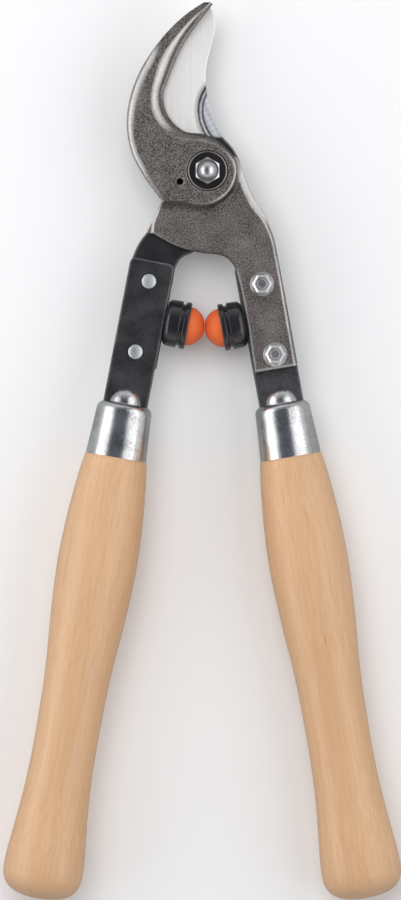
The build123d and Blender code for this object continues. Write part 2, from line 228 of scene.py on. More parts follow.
def plate(name, outline, holes, front, back, marks, features=(), spacing=1.3, steps=(0.3, 0.7, 1.3, 2.2)):
    """A forging or a bar: a closed outline with round holes, whose front and back heights and named surface
    marks are functions of the place on it. Extra vertices follow the outline and the feature lines."""
    kept, cells = [], set()

    def add(points, room):
        for p in points:
            cell = (round(p[0] / room), round(p[1] / room), room)
            if cell not in cells:
                cells.add(cell)
                kept.append(p)

    loops = [outline] + [ring((x, y), r) for x, y, r in holes]
    for loop in loops:
        kept.extend(loop)
    edges, first = [], 0
    for loop in loops:
        count = len(loop)
        edges += [(first + i, first + (i + 1) % count) for i in range(count)]
        first += count
    fixed = np.array(kept)
    for line in [closed(outline), *features]:
        way = np.gradient(line, axis=0)
        normal = np.c_[-way[:, 1], way[:, 0]] / np.maximum(np.hypot(*way.T), 1e-9)[:, None]
        for gap in (0.0,) + tuple(steps):
            for sign in (1, -1):
                add(line + sign * gap * normal, 0.28)
    low, high = outline.min(0), outline.max(0)
    close = np.array(kept)
    field = np.stack(np.meshgrid(np.arange(low[0], high[0], spacing), np.arange(low[1], high[1], spacing)), -1)
    field = field.reshape(-1, 2)
    field[:, 1] += spacing * 0.5 * (np.round((field[:, 0] - low[0]) / spacing) % 2)
    taken = {(round(p[0] / spacing), round(p[1] / spacing)) for p in close}
    field = np.array([p for p in field if (round(p[0] / spacing), round(p[1] / spacing)) not in taken])
    free = np.vstack([close[len(fixed):], field])
    free = free[inside(free, outline)]
    clear = np.ones(len(free), bool)
    for loop in loops:
        clear &= off(free, closed(loop))[0] > 0.2
    for x, y, r in holes:
        clear &= np.hypot(free[:, 0] - x, free[:, 1] - y) > r
    points = np.vstack([fixed, free[clear]])
    made = delaunay_2d_cdt([Vector(p) for p in points], edges, [], 0, 1e-5)
    flat = np.array([tuple(v) for v in made[0]])
    tris = np.array([f for f in made[2] if len(f) == 3])
    middle = flat[tris].mean(1)
    keep = inside(middle, outline)
    for x, y, r in holes:
        keep &= ~inside(middle, ring((x, y), r))
    tris = tris[keep]
    a, b, c = flat[tris[:, 0]], flat[tris[:, 1]], flat[tris[:, 2]]
    turn = (b[:, 0] - a[:, 0]) * (c[:, 1] - a[:, 1]) - (b[:, 1] - a[:, 1]) * (c[:, 0] - a[:, 0])
    tris = tris[np.abs(turn) > 1e-9]
    turn = turn[np.abs(turn) > 1e-9]
    tris[turn < 0] = tris[turn < 0][:, ::-1]
    used, tris = np.unique(tris, return_inverse=True)
    tris = tris.reshape(-1, 3)
    flat = flat[used]
    count = len(flat)
    top, bottom = front(flat), back(flat)
    sides = {}
    for tri in tris:
        for i in range(3):
            sides[(tri[i], tri[(i + 1) % 3])] = True
    rim = [pair for pair in sides if (pair[1], pair[0]) not in sides]
    faces = [tuple(t) for t in tris] + [tuple(t[::-1] + count) for t in tris]
    faces += [(i + count, j + count, j, i) for i, j in rim]
    xyz = np.vstack([np.c_[flat, top], np.c_[flat, bottom]]) * MM + np.array(pivot)
    mesh = bpy.data.meshes.new(name)
    mesh.from_pydata(xyz.tolist(), [], [tuple(int(v) for v in f) for f in faces])
    for mark, (front_mark, back_mark) in marks.items():
        layer = mesh.attributes.new(mark, "FLOAT", "POINT")
        values = np.r_[front_mark(flat), back_mark(flat)]
        layer.data.foreach_set("value", values.clip(0, 1).astype(np.float32))
    mesh.shade_smooth()
    mesh.set_sharp_from_angle(angle=math.radians(38))
    return add_piece(name, mesh)


HEAD_THICK, ARM_THICK, SHEAR_Z = 10.0, 6.0, 0.05
BOSS, BOSS_R = (-3.6, 0.6), 19.5
RECESS_R, RECESS_FLOOR = 11.6, 7.5
RIGHT_BOLTS = ((30.4, -63.1), (37.7, -102.4))
OIL_HOLE = (-15.3, -6.1, 1.9)
PIVOT_HOLE, BOLT_HOLE_R = (0, 0, 5.05), 3.1
JAW_FOOT = -16.6

back_rim = line_through([(-1.9, 93.8), (-9.0, 89.3), (-16.3, 83.4), (-28.8, 69.5), (-37.4, 56.1), (-43.0, 41.5),
                         (-45.0, 27.0), (-42.4, 10.5), (-36.1, -2.0), (-25.4, -16.9)])
lobe_rim = straight([(-25.4, -16.9), (-30.4, -29.4), (-30.8, -34.9)])
lobe_foot = np.vstack([straight([(-25.8, -17.6), (-30.0, -26.8), (-33.4, -33.6)]), [(-33.2, -34.4), (-32.0, -34.9)]])
belly = line_through([(-30.4, -34.9), (-24.0, -38.6), (-18.0, -41.7), (-9.0, -44.5), (-1.5, -45.9), (4.5, -46.4),
                      (10.0, -48.0), (14.2, -52.0), (16.9, -60.5), (20.9, -79.5), (25.9, -111.6)])
foot = straight([(26.6, -112.6), (49.2, -108.8)])
outer_rim = line_through([(50.1, -107.2), (45.5, -81.6), (39.9, -52.0), (36.6, -36.5), (33.5, -28.2),
                          (32.7, -25.6), (28.9, -19.8), (23.6, -10.5), (20.6, -2.0), (16.1, 8.4)])
inner_edge = line_through([(14.4, 8.6), (9.9, 13.3), (4.4, 17.7), (-3.0, 20.5), (-12.4, 21.9), (-18.6, 26.3),
                           (-23.0, 33.0), (-24.6, 42.0), (-21.4, 52.5), (-14.1, 69.5), (-4.7, 83.4), (2.8, 92.9)])
jaw_tip = straight([(2.8, 92.9), (1.6, 93.8), (-1.9, 93.8)])
hook_outline = np.vstack([inner_edge[:-1], jaw_tip[:-1], back_rim, lobe_foot, belly, foot, outer_rim[:-1]])

ridge = line_through([(1.2, 93.3), (-4.4, 88.6), (-10.0, 83.4), (-18.2, 73.9), (-25.4, 63.0), (-28.9, 52.7),
                      (-31.1, 42.0), (-30.4, 33.0), (-27.0, 26.4), (-21.5, 20.6), (-13.6, 17.5), (-4.0, 16.8),
                      (4.2, 14.6), (10.6, 10.0), (14.3, 4.8), (15.4, 0.4)])
raised_rim = line_through([(15.4, 1.6), (17.9, -4.9), (24.3, -19.0), (32.4, -30.1), (36.0, -39.0), (37.9, -48.0),
                           (43.1, -76.9), (48.6, -108.6)])


def rounded(distance, width, drop):
    """How far a rim of this width, rounded over, has dropped at a distance from its edge."""
    return drop * (1 - np.sqrt(1 - (1 - (distance / width).clip(0, 1)) ** 2))


def outside_head(p):
    """Above zero below the boss and the jaw, where the forging steps down to the arm."""
    boss = np.hypot(p[:, 0] - BOSS[0], p[:, 1] - BOSS[1]) - BOSS_R
    jaw = np.maximum(JAW_FOOT - p[:, 1], p[:, 0] - 2.0 - 8.0 * ease(20, 60, p[:, 1]))
    both = np.minimum(boss, jaw)
    blend = np.maximum(2.4 - np.abs(boss - jaw), 0) / 2.4
    return both - blend**2 * 0.6


def back_rim_width(y):
    """The back of the jaw is rounded over widest behind its middle, and narrows to the tip and the waist."""
    return 0.5 + 4.1 * ease(77, 58, y) * (0.68 + 0.32 * ease(10, 45, y)) * (0.5 + 0.5 * ease(-16, 5, y))


def hook_front(p):
    """Height of the front: the head with its rounded back and bevelled mouth, and the thinner arm."""
    x, y = p.T
    head = np.full(len(p), HEAD_THICK)
    far_back = off(p, back_rim)[0]
    width = back_rim_width(y)
    head -= rounded(far_back, width, 0.85 * width)
    far_inner = off(p, inner_edge)[0]
    far_ridge, side = off(p, ridge)
    bevel = far_inner + far_ridge
    t = np.where(side > 0, far_inner / np.maximum(bevel, 1e-6), 1.0)
    head -= np.minimum(1.15 * bevel, 6.6) * (1 - t) ** 1.9
    arm = np.full(len(p), ARM_THICK)
    for rim, width in ((belly, 1.0), (foot, 1.2)):
        arm -= rounded(off(p, rim)[0], width, width)
    past, within = off(p, lobe_rim)
    draft = (within < 0) & (past < 4.5) & (x < -24) & (y < -16.9)
    arm -= np.where(draft, 0.5 + 1.2 * past, rounded(past, 0.9, 0.5))
    over, right = off(p, raised_rim)
    arm -= np.where(right > 0, 0.5 * ease(0, 0.7, over) + 0.62 * over, rounded(over, 0.9, 0.25))
    arm -= rounded(off(p, outer_rim)[0], 0.8, 0.5)
    beyond = outside_head(p)
    step = ease(-0.5, 2.6, beyond)
    z = head * (1 - step) + np.minimum(arm, head) * step - 0.6 * bell(beyond, 2.8, 1.9) * ease(19, 14, x)
    recess = np.hypot(x, y)
    z = np.where(recess < RECESS_R + 0.35, np.minimum(z, RECESS_FLOOR + 2.15 + 1.0 * (recess - RECESS_R)), z)
    return np.where(recess < RECESS_R - 0.02, RECESS_FLOOR, z)


def hook_scuffs_and_sheen(p):
    """Where the forging is painted bright along its ridges and rims: partly metal rubbed by handling, partly painted
    highlights where the soft boxes would be reflected, strongest on the right-hand rims.
    """
    x, y = p.T
    inward = off(p, back_rim)[0] / back_rim_width(y)
    back_band = (0.35 + 0.65 * ease(0.14, 0.30, inward)) * ease(1.02, 0.84, inward)
    back_band *= 0.86 * (0.28 + 0.72 * ease(-10, 7, y)) * ease(-20, -12, y) * ease(73, 61, y)
    far_inner = off(p, inner_edge)[0]
    far_ridge, side = off(p, ridge)
    across = np.where(side > 0, far_inner / np.maximum(far_inner + far_ridge, 1e-6), 1 + 0.16 * far_ridge)
    tip = 0.22 * ease(58, 84, y)
    inner_band = ease(0.32 + tip, 0.52 + tip, across) * ease(1.12 - 0.3 * tip, 0.98 - 0.3 * tip, across)
    inner_band *= ease(20, 27, y) * (0.72 + 0.20 * ease(26, 50, y))
    below = off(p, belly)[0]
    hole = np.hypot(x - OIL_HOLE[0], y - OIL_HOLE[1])
    return np.maximum.reduce([
        back_band, inner_band,
        0.45 * bell(far_inner, 0.9, 0.45) * ease(30, 50, y),
        # Painted highlight: the boss's rim, brighter towards its right, where the right-hand box would light it.
        bell(far_ridge, 0.1, 0.5) * (0.22 + 0.65 * ease(14, 4, y)) * ease(26, 20, y),
        bell(outside_head(p), -0.4, 0.45) * (0.08 + 0.82 * ease(-5, 9, x)) * ease(8, 2, y),
        # Painted highlight: the planished ledge is painted light where it faces the right-hand box.
        (0.80 + 0.20 * bell(off(p, outer_rim)[0], 0.6, 0.5)) * hook_smooth(p),
        bell(off(p, raised_rim)[0], 0.0, 0.5) * ease(0, -9, y),
        bell(off(p, lobe_rim)[0], 0.3, 0.5),
        0.8 * bell(below, 1.0, 0.4) * ease(-52, -58, y),
        0.25 * bell(below, 0.5, 0.4) * ease(-8, -14, x),
        0.8 * bell(off(p, foot)[0], 0.9, 0.5),
        0.22 * bell(np.hypot(x, y), RECESS_R + 0.2, 0.3),
        # Painted highlight: a light crescent on the oil hole's right side.
        0.6 * bell(hole, OIL_HOLE[2] + 0.3, 0.35) * ease(-0.5, 1.5, x - OIL_HOLE[0])])


def hook_smooth(p):
    """The ledge beside the arm is planished smooth."""
    right = off(p, raised_rim)[1]
    return (right > 0) * ease(0.3, 1.2, outside_head(p)) * ease(-33, -25, p[:, 1])


def hook_painted_shade(p):
    """Painted shade: darkening in the valley round the boss, at the foot of the inner bevel, along the inner edge
    and along the belly's edge, where shade falls.
    """
    x, y = p.T
    right = ease(-4, 9, x)
    far_inner = off(p, inner_edge)[0]
    return np.maximum.reduce([
        (0.5 + 0.2 * right) * bell(outside_head(p), 2.8 - 1.3 * right, 1.7 - 0.5 * right) * ease(18, 13, x),
        0.40 * bell(far_inner, 2.3, 0.9) * ease(22, 34, y),
        0.5 * bell(far_inner, 0.0, 0.35) * ease(30, 50, y),
        0.55 * bell(far_inner, 0.5, 1.2) * ease(38, 24, y) * (y > 7),
        0.7 * bell(off(p, belly)[0], 0.0, 0.8) * ease(-12, -6, x) * ease(0, -30, y)])


def none(p):
    return np.zeros(len(p))


hook = plate(
    "counter_blade_forging", hook_outline,
    [PIVOT_HOLE, OIL_HOLE, *((x, y, BOLT_HOLE_R) for x, y in RIGHT_BOLTS)],
    hook_front, lambda p: np.full(len(p), SHEAR_Z),
    {"scuffs_and_sheen": (hook_scuffs_and_sheen, none), "painted_shade": (hook_painted_shade, none), "smooth": (hook_smooth, none)},
    features=[ridge, raised_rim, lobe_rim, closed(ring(BOSS, BOSS_R)), closed(ring((0, 0), RECESS_R))],
    steps=(0.3, 0.7, 1.1, 1.6, 2.2, 2.9, 3.6, 4.3))


def socket(group, name, kind, way, value=None):
    made = group.interface.new_socket(name, in_out=way, socket_type=kind)
    if value is not None:
        made.default_value = value


def group_tree(name, inputs, outputs):
    """A shader node group with number inputs, a vector input where the value is None, and number outputs."""
    group = bpy.data.node_groups.new(name, "ShaderNodeTree")
    for label, value in inputs.items():
        kind = "NodeSocketVector" if value is None else "NodeSocketFloat"
        socket(group, label, kind, "INPUT", value)
    for label in outputs:
        socket(group, label, "NodeSocketFloat", "OUTPUT")
    return group, group.nodes.new("NodeGroupInput").outputs, group.nodes.new("NodeGroupOutput").inputs


def maths(tree, operation, *values):
    made = tree.nodes.new("ShaderNodeMath")
    made.operation = operation
    for target, value in zip(made.inputs, values):
        wire(tree, target, value)
    return made.outputs[0]


def shot_grain_group():
    """Fine blasted grain: a value round one half that varies over the surface, and its height."""
    group, given, out = group_tree("shot_grain", {"Vector": None, "Grain Size": 0.5, "Patches": 0.3},
                                   ("Grain", "Height"))
    per_metre = maths(group, "DIVIDE", 1000.0, given["Grain Size"])
    fine = node(group, "ShaderNodeTexNoise", Vector=given["Vector"], Scale=per_metre, Detail=4.0,
                Roughness=0.75).outputs["Fac"]
    cloud = node(group, "ShaderNodeTexNoise", Vector=given["Vector"], Scale=90.0, Detail=3.0).outputs["Fac"]
    wire(group, out["Grain"], mixed(group, given["Patches"], fine, cloud, "FLOAT"))
    wire(group, out["Height"], fine)
    return group


def edge_scuffs_and_sheen_group():
    """Breaks a bright-edge mask up with grain, so that the bright metal looks rubbed; the mask is partly rubbed
    metal and partly painted highlight.
    """
    group, given, out = group_tree("edge_scuffs_and_sheen", {"Mask": 0.0, "Grain": 0.5, "Breakup": 0.5}, ("Scuffs and Sheen",))
    centred = maths(group, "SUBTRACT", given["Grain"], 0.5)
    spread = maths(group, "MULTIPLY", centred, given["Breakup"])
    shaken = maths(group, "MULTIPLY_ADD", given["Mask"], spread, given["Mask"])
    shaken.node.use_clamp = True
    wire(group, out["Scuffs and Sheen"], shaken)
    return group


shot_grain = shot_grain_group()
edge_scuffs_and_sheen = edge_scuffs_and_sheen_group()


def finish(name):
    """A new material: itself, its tree, its shader, and the place on the piece."""
    made = bpy.data.materials.new(name)
    made.use_nodes = True
    tree = made.node_tree
    return made, tree, tree.nodes["Principled BSDF"], node(tree, "ShaderNodeTexCoord").outputs["Object"]


def use(tree, group, **inputs):
    """Places a node group in a material and gives its outputs."""
    made = tree.nodes.new("ShaderNodeGroup")
    made.node_tree = group
    for name, value in inputs.items():
        wire(tree, made.inputs[name.replace("_", " ")], value)
    return made.outputs


def mark(tree, name):
    """A surface mark of the piece, 0 where it has none."""
    made = tree.nodes.new("ShaderNodeAttribute")
    made.attribute_name = name
    return made.outputs["Fac"]


def between(tree, value, low, high, to_low=0.0, to_high=1.0):
    """A value stretched from one range to another."""
    return node(tree, "ShaderNodeMapRange", Value=value, From_Min=low, From_Max=high, To_Min=to_low,
                To_Max=to_high).outputs["Result"]


def relief(tree, shader, height, strength):
    """Raises a height 0.2 mm out of the surface, by a strength."""
    dents = node(tree, "ShaderNodeBump", Height=height, Strength=strength, Distance=0.0002)
    wire(tree, shader.inputs["Normal"], dents.outputs["Normal"])


# Colour of the painted shade in the forging's valleys and along its inner edges.
PAINTED_SHADE = (0.02, 0.018, 0.016)


def steel(name, dark, bright, grain_size, patches, contrast, roughness, metallic, bump, breakup=3.0):
    """Dark steel with grain in its colour and surface, made bright where its mark for rubbed metal and painted
    highlights says, and darkened where its painted-shade mark says. dark is the grain's two colours, and roughness
    is of the skin and of the bright metal."""
    made, tree, shader, where = finish(name)
    grain = use(tree, shot_grain, Vector=where, Grain_Size=grain_size, Patches=patches)
    calm = mixed(tree, mark(tree, "smooth"), grain["Grain"], 0.5, "FLOAT")
    tone = between(tree, calm, 0.5 - 0.2 / contrast, 0.5 + 0.2 / contrast)
    brightening = use(tree, edge_scuffs_and_sheen, Mask=mark(tree, "scuffs_and_sheen"), Grain=calm, Breakup=breakup)["Scuffs and Sheen"]
    colour = mixed(tree, tone, (*dark[0], 1), (*dark[1], 1))
    colour = mixed(tree, brightening, colour, (*bright, 1))
    # Painted shade: the colour is darkened where the piece's mark for it says.
    colour = mixed(tree, mark(tree, "painted_shade"), colour, (*PAINTED_SHADE, 1))
    wire(tree, shader.inputs["Base Color"], colour)
    wire(tree, shader.inputs["Roughness"], between(tree, brightening, 0.0, 1.0, *roughness))
    shader.inputs["Metallic"].default_value = metallic
    relief(tree, shader, grain["Height"], bump)
    return made


blasted_steel = steel("blasted_forging", ((0.05, 0.044, 0.04), (0.40, 0.36, 0.335)), (0.82, 0.79, 0.765),
                      0.70, 0.14, 2.6, (0.50, 0.40), 0.75, 0.6, 2.2)
hook.data.materials.append(blasted_steel)
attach(hook, "hook_side")
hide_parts("hook_jaw")

# ======================================================================================================
# Cutting blade: one forging, hollow-ground bright up to a crescent beside the boss. Its disc and its left
# arm keep their black oxide. The edge is ground from the back.

BLADE_FRONT, BLADE_BACK = -0.05, -5.55
BEVEL_WIDE = 9.0
LEFT_BOLTS = ((-32.65, -61.66), (-40.21, -100.94))

spine = line_through([(0.2, 91.5), (1.5, 91.1), (2.4, 90.0), (3.3, 87.8), (4.0, 84.8), (4.2, 79.5), (2.2, 70.4),
                      (-0.6, 58.5), (-1.0, 49.0), (0.6, 38.4), (4.7, 25.9), (8.9, 18.6)])
crown = line_through([(8.9, 18.6), (14.4, 12.4), (18.0, 5.0), (18.9, -1.0), (18.0, -7.0)])
throat = line_through([(18.0, -7.0), (12.6, -24.0), (3.0, -40.0), (-9.4, -45.9), (-14.4, -48.4), (-17.6, -53.2),
                       (-19.2, -60.5), (-22.4, -77.7), (-28.5, -109.9)])
blade_foot = straight([(-29.4, -110.9), (-51.8, -106.8)])
left_rim = line_through([(-53.0, -105.3), (-43.6, -56.5), (-41.5, -47.2), (-37.2, -38.6), (-32.8, -33.0),
                         (-27.8, -24.8), (-22.6, -12.0), (-20.6, 4.0), (-25.2, 19.0)])
cutting_edge = line_through([(-25.2, 19.0), (-30.4, 34.0), (-28.6, 50.0), (-21.5, 65.0), (-10.4, 79.6), (0.2, 91.5)])
blade_outline = np.vstack([cutting_edge[::-1][:-1], left_rim[::-1][:-1], blade_foot[::-1], throat[::-1][:-1],
                           crown[::-1][:-1], spine[::-1][:-1]])
edge_way = np.gradient(cutting_edge, axis=0)
edge_normal = np.c_[edge_way[:, 1], -edge_way[:, 0]] / np.hypot(*edge_way.T)[:, None]
bevel_end = cutting_edge + (BEVEL_WIDE + 0.1) * edge_normal
bevel_end = bevel_end[(off(bevel_end, cutting_edge)[0] > BEVEL_WIDE - 0.1) & (bevel_end[:, 1] < 80)]
crescent = line_through([(2.0, 50.5), (-0.9, 47.0), (-3.6, 42.2), (-5.0, 37.2), (-5.2, 32.6), (-4.2, 26.8),
                         (-1.6, 20.8), (2.6, 15.0)])


CRESCENT_TOP = 50.5


def left_of_crescent(p):
    """Distance left of the crescent where the grind ends, below zero on the boss's side."""
    gap, side = off(p, crescent)
    return -side * gap


def blade_front(p):
    x, y = p.T
    left = left_of_crescent(p)
    ground = (left > 0) | (y > CRESCENT_TOP)
    depth = 0.72 * ease(-0.1, 0.15, left) * ground + 0.35 * bell(left, 1.2, 1.3) * (left > 0.1)
    depth += 0.3 * ease(1.5, 0.2, np.abs(left + 1.0)) * (left < 0) * (left > -2.2)
    hollow = 0.5 * bell(off(p, spine)[0], 12.0, 9.0) * ground
    tail = ease(12, 20, np.hypot(x, y))
    z = BLADE_FRONT - (depth + hollow * 0.4) * tail
    z -= rounded(off(p, spine)[0], 0.5, 0.3)
    z -= rounded(off(p, throat)[0], 0.7, 0.6) + rounded(off(p, left_rim)[0], 0.7, 0.6)
    z -= rounded(off(p, crown)[0], 0.7, 0.5)
    return z


def blade_back(p):
    near = off(p, cutting_edge)[0]
    z = np.full(len(p), BLADE_BACK) + rounded(off(p, spine)[0], 1.0, 0.6) + rounded(off(p, throat)[0], 0.7, 0.6)
    return z + 4.4 * (1 - (near / BEVEL_WIDE).clip(0, 1)) * ease(14, 20, p[:, 1])


def blade_ground(p):
    return ((left_of_crescent(p) > 0.05) | (p[:, 1] > CRESCENT_TOP)) * ease(9, 13, p[:, 1])


def blade_step_shade(p):
    """Painted shade: the dark lines and the soft grey band where the hollow grind runs out against the root,
    standing in for the shade of the step.
    """
    left = left_of_crescent(p)
    wide = 0.45 + 0.45 * ease(28, 46, p[:, 1])
    dark = bell(left, -0.3, wide) + 1.15 * bell(left, -2.5, 0.5) + 0.34 * bell(left, 1.3, 1.1)
    return dark * (p[:, 1] < 50)


def blade_root(p):
    """The grey root inside the crescent, a little cloudy."""
    left = left_of_crescent(p)
    x, y = p.T
    clouds = 0.82 + 0.1 * np.sin(1.3 * x + 0.7 * y) + 0.08 * np.sin(0.8 * x - 1.9 * y + 1.0)
    return ((left < 0) & (y < 50)) * ease(18.2, 19.8, y) * clouds


def blade_back_ground(p):
    return ease(BEVEL_WIDE + 0.4, BEVEL_WIDE - 0.2, off(p, cutting_edge)[0]) * ease(14, 20, p[:, 1])


def blade_bright_rims(p):
    rims = np.minimum(off(p, throat)[0], off(p, left_rim)[0])
    return 0.30 * bell(rims, 0.5, 0.35) + 0.5 * bell(off(p, crown)[0], 0.4, 0.3)


blade = plate(
    "cutting_blade_forging", blade_outline, [PIVOT_HOLE, *((x, y, BOLT_HOLE_R) for x, y in LEFT_BOLTS)],
    blade_front, blade_back,
    {"scuffs_and_sheen": (blade_bright_rims, blade_bright_rims), "ground": (blade_ground, blade_back_ground),
     "step": (blade_step_shade, none), "root": (blade_root, none)},
    features=[crescent, bevel_end], steps=(0.15, 0.4, 0.8, 1.3, 1.8, 2.2, 2.5, 2.8, 3.2))


def streaks_group():
    """Fine lines drawn along the group's Y: grinding marks, draw lines or wood fibre."""
    group, given, out = group_tree("fine_streaks", {"Vector": None, "Lines per Metre": 2000.0, "Stretch": 0.02},
                                   ("Lines",))
    squeeze = node(group, "ShaderNodeCombineXYZ", X=1.0, Y=given["Stretch"], Z=1.0)
    drawn = node(group, "ShaderNodeVectorMath")
    drawn.operation = "MULTIPLY"
    wire(group, drawn.inputs[0], given["Vector"])
    wire(group, drawn.inputs[1], squeeze.outputs[0])
    lines = node(group, "ShaderNodeTexNoise", Vector=drawn.outputs[0], Scale=given["Lines per Metre"], Detail=5.0,
                 Roughness=0.6)
    wire(group, out["Lines"], lines.outputs["Fac"])
    return group


fine_streaks = streaks_group()
BLACK_OXIDE = ((0.012, 0.012, 0.014), (0.04, 0.04, 0.046))
GROUND_TINT, ROOT_GREY, STEP_SHADE = (1.0, 0.98, 0.962, 1), (0.70, 0.72, 0.75, 1), (0.02, 0.02, 0.025, 1)

blade_steel = steel("blade_steel", BLACK_OXIDE, (0.55, 0.55, 0.57), 0.8, 0.6, 1.0, (0.5, 0.4), 0.3, 0.12)
tree = blade_steel.node_tree
base_colour = tree.nodes["Principled BSDF"].inputs["Base Color"]
streaks = use(tree, fine_streaks, Vector=node(tree, "ShaderNodeTexCoord").outputs["Object"],
              Lines_per_Metre=1500.0, Stretch=0.02)
shine = mixed(tree, 1.0, GROUND_TINT, between(tree, streaks["Lines"], 0.3, 0.7, 0.88, 0.99))
shine.node.blend_type = "MULTIPLY"
colour = mixed(tree, mark(tree, "root"), base_colour.links[0].from_socket, ROOT_GREY)
colour = mixed(tree, mark(tree, "ground"), colour, shine)
wire(tree, base_colour, mixed(tree, mark(tree, "step"), colour, STEP_SHADE))
blade.data.materials.append(blade_steel)
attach(blade, "blade_side")
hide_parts("cutting_blade")

# ======================================================================================================
# Tang bars: 25 mm flat bar with black oxide, sheared to length with the front corners rounded. Each is
# bolted to its arm, and a tapered tang runs down into the wood.

BAR_HALF, BAR_THICK = 12.5, 5.0
TANG_HALF, TANG_DEEP, TAPER_FROM = 6.5, 105.0, 20.0
LEFT_MOUTH, LEFT_LEAN = (-46.0, -131.0), -10.9
RIGHT_MOUTH, RIGHT_LEAN = (41.5, -130.7), 10.4
BAR_BRIGHT_EDGE = (0.30, 0.30, 0.32)
left_bar_steel = steel("left_bar_steel", ((0.014, 0.014, 0.016), (0.055, 0.055, 0.058)), BAR_BRIGHT_EDGE, 0.9, 0.4, 2.1,
                       (0.52, 0.4), 0.3, 0.3)
# Painted light: the right bar's steel is a lighter copy of the left's, standing in for the right-hand box's light on
# that bar.
right_bar_steel_lit = steel("right_bar_steel_lit", ((0.03, 0.03, 0.034), (0.085, 0.085, 0.092)), BAR_BRIGHT_EDGE, 0.9, 0.4, 2.1,
                        (0.52, 0.4), 0.3, 0.3)


def tang_bar(name, mouth, lean, top, low_z, bolts, body, node, finish):
    """Flat bar drawn up its own axis from the ferrule's mouth, then leant over."""
    half, corner = BAR_HALF, 3.0
    bend = corner * (1 - math.sqrt(0.5))
    right_corner = [(half - corner, top), (half - bend, top - bend), (half, top - corner)]
    left_corner = [(-half, top - corner), (-half + bend, top - bend), (corner - half, top)]
    tang_end = [(-TANG_HALF, -TANG_DEEP), (TANG_HALF, -TANG_DEEP)]
    loop = np.vstack([straight(tang_end)[:-1],
                      straight([tang_end[1], (half, -TAPER_FROM), right_corner[2]], 1.5)[:-1],
                      line_through(right_corner[::-1], 0.4)[:-1],
                      straight([right_corner[0], left_corner[2]], 1.5)[:-1],
                      line_through(left_corner[::-1], 0.4)[:-1],
                      straight([left_corner[0], (-half, -TAPER_FROM), tang_end[0]], 1.5)[:-1]])
    turn = math.radians(lean)
    across, up = np.array([math.cos(turn), math.sin(turn)]), np.array([-math.sin(turn), math.cos(turn)])
    loop = np.array(mouth) + loop[:, :1] * across + loop[:, 1:] * up
    rim = closed(loop)

    def front(p):
        return low_z + BAR_THICK - rounded(off(p, rim)[0], 0.7, 0.5)

    def back(p):
        return low_z + rounded(off(p, rim)[0], 0.7, 0.5)

    def scuffs_and_sheen(p):
        return 0.45 * bell(off(p, rim)[0], 0.3, 0.5)

    bar = plate(name, loop, [(x, y, BOLT_HOLE_R) for x, y in bolts], front, back, {"scuffs_and_sheen": (scuffs_and_sheen, scuffs_and_sheen)},
                spacing=2.4, steps=(0.3, 0.6, 1.0, 1.6, 2.4))
    bar.data.materials.append(finish)
    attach(bar, body)
    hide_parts(node)


tang_bar("left_bar", LEFT_MOUTH, LEFT_LEAN, 82.3, -0.05, LEFT_BOLTS, "blade_side", "left_tang_bar",
         left_bar_steel)
tang_bar("right_bar", RIGHT_MOUTH, RIGHT_LEAN, 80.7, -4.95, RIGHT_BOLTS, "hook_side", "right_tang_bar",
         right_bar_steel_lit)

# ======================================================================================================
# Arm bolts and nuts: M6 round-headed bolts and flanged lock nuts, bright zinc plate. They are set down
# in place, one tree for the heads and one for the nuts, on the points where the arms are drilled.


def at_height(tree, shape, height):
    """Moves a shape up by a height, a number or a socket."""
    lift = node(tree, "ShaderNodeCombineXYZ", Z=height)
    return node(tree, "GeometryNodeTransform", Geometry=shape, Translation=lift.outputs[0]).outputs[0]


def hardware_tree(name, sizes):
    """A tree that sets one fastener down on each point of its mesh. sizes are its named inputs, metres."""
    tree = bpy.data.node_groups.new(name, "GeometryNodeTree")
    socket(tree, "Geometry", "NodeSocketGeometry", "INPUT")
    for size, value in sizes.items():
        socket(tree, size, "NodeSocketFloat", "INPUT", value)
    socket(tree, "Turn", "NodeSocketVector", "INPUT")
    socket(tree, "Finish", "NodeSocketMaterial", "INPUT")
    socket(tree, "Geometry", "NodeSocketGeometry", "OUTPUT")
    return tree, tree.nodes.new("NodeGroupInput"), tree.nodes.new("NodeGroupOutput")


def set_down(tree, into, out, parts):
    """Joins a fastener's parts, puts it on every point, and gives it its finish."""
    joined = tree.nodes.new("GeometryNodeJoinGeometry")
    for part in parts:
        tree.links.new(part, joined.inputs[0])
    placed = node(tree, "GeometryNodeInstanceOnPoints", Points=into.outputs["Geometry"],
                  Instance=joined.outputs[0], Rotation=into.outputs["Turn"])
    real = node(tree, "GeometryNodeRealizeInstances", Geometry=placed.outputs[0])
    plated = node(tree, "GeometryNodeSetMaterial", Geometry=real.outputs[0], Material=into.outputs["Finish"])
    tree.links.new(plated.outputs[0], out.inputs[0])


def rod(tree, sides, radius, height):
    """A cylinder or prism that stands on the seat."""
    made = node(tree, "GeometryNodeMeshCylinder", Vertices=sides, Radius=radius, Depth=height)
    return at_height(tree, made.outputs["Mesh"], maths(tree, "MULTIPLY", height, 0.5))


